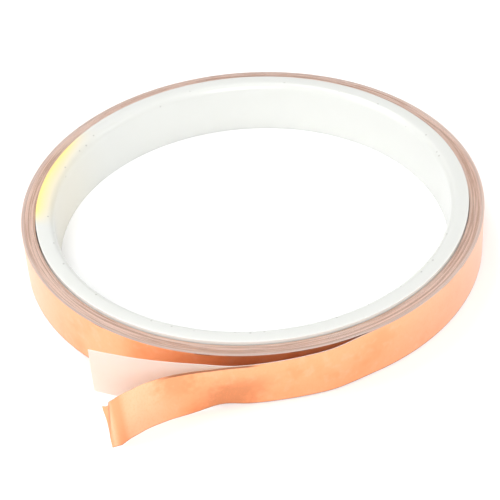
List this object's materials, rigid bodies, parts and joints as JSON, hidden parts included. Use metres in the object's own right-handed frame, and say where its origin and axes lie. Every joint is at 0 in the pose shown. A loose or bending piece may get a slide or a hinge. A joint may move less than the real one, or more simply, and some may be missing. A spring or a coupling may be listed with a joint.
{
  "type": "copper foil tape roll",
  "caption": "Narrow adhesive copper foil tape wound on a wide plastic ring core, its foil end peeled off the paper release liner.",
  "frame": {"origin": "centre of the core's bore, half way along it", "axes": "+Z along the bore and up when the roll lies flat; the loose end of the tape is on the -Y side and points towards -X"},
  "size_m": [0.0889, 0.0993, 0.011],
  "materials": {
    "core_plastic": "satin",
    "tab_film": "satin",
    "liner_paper": "matte",
    "adhesive": "satin",
    "copper_foil": "polished"
  },
  "bodies": {
    "roll": {"core": "core_plastic", "starter_tab": "tab_film", "wound_liner": "liner_paper", "wound_adhesive": "adhesive", "wound_foil": "copper_foil", "outer_wrap_liner": "liner_paper", "outer_wrap_adhesive": "adhesive", "outer_wrap_foil": "copper_foil"},
    "lead": {"lead_liner": "liner_paper", "lead_adhesive": "adhesive", "lead_foil": "copper_foil"},
    "foil_tail": {"tail_adhesive": "adhesive", "tail_foil": "copper_foil"},
    "liner_tail": {"tail_liner": "liner_paper"}
  },
  "joints": [
    {"name": "lead_lift", "type": "hinge", "parent": "roll", "child": "lead", "pos_m": [0.01465, -0.04265, 0], "axis": [0, 0, 1], "range_deg": [-2, 60]},
    {"name": "foil_peel", "type": "hinge", "parent": "lead", "child": "foil_tail", "pos_m": [-0.00432, -0.04638, 0], "axis": [0, 0, 1], "range_deg": [0, 70]},
    {"name": "liner_peel", "type": "hinge", "parent": "lead", "child": "liner_tail", "pos_m": [-0.00432, -0.04623, 0], "axis": [0, 0, 1], "range_deg": [-8, 0]}
  ]
}
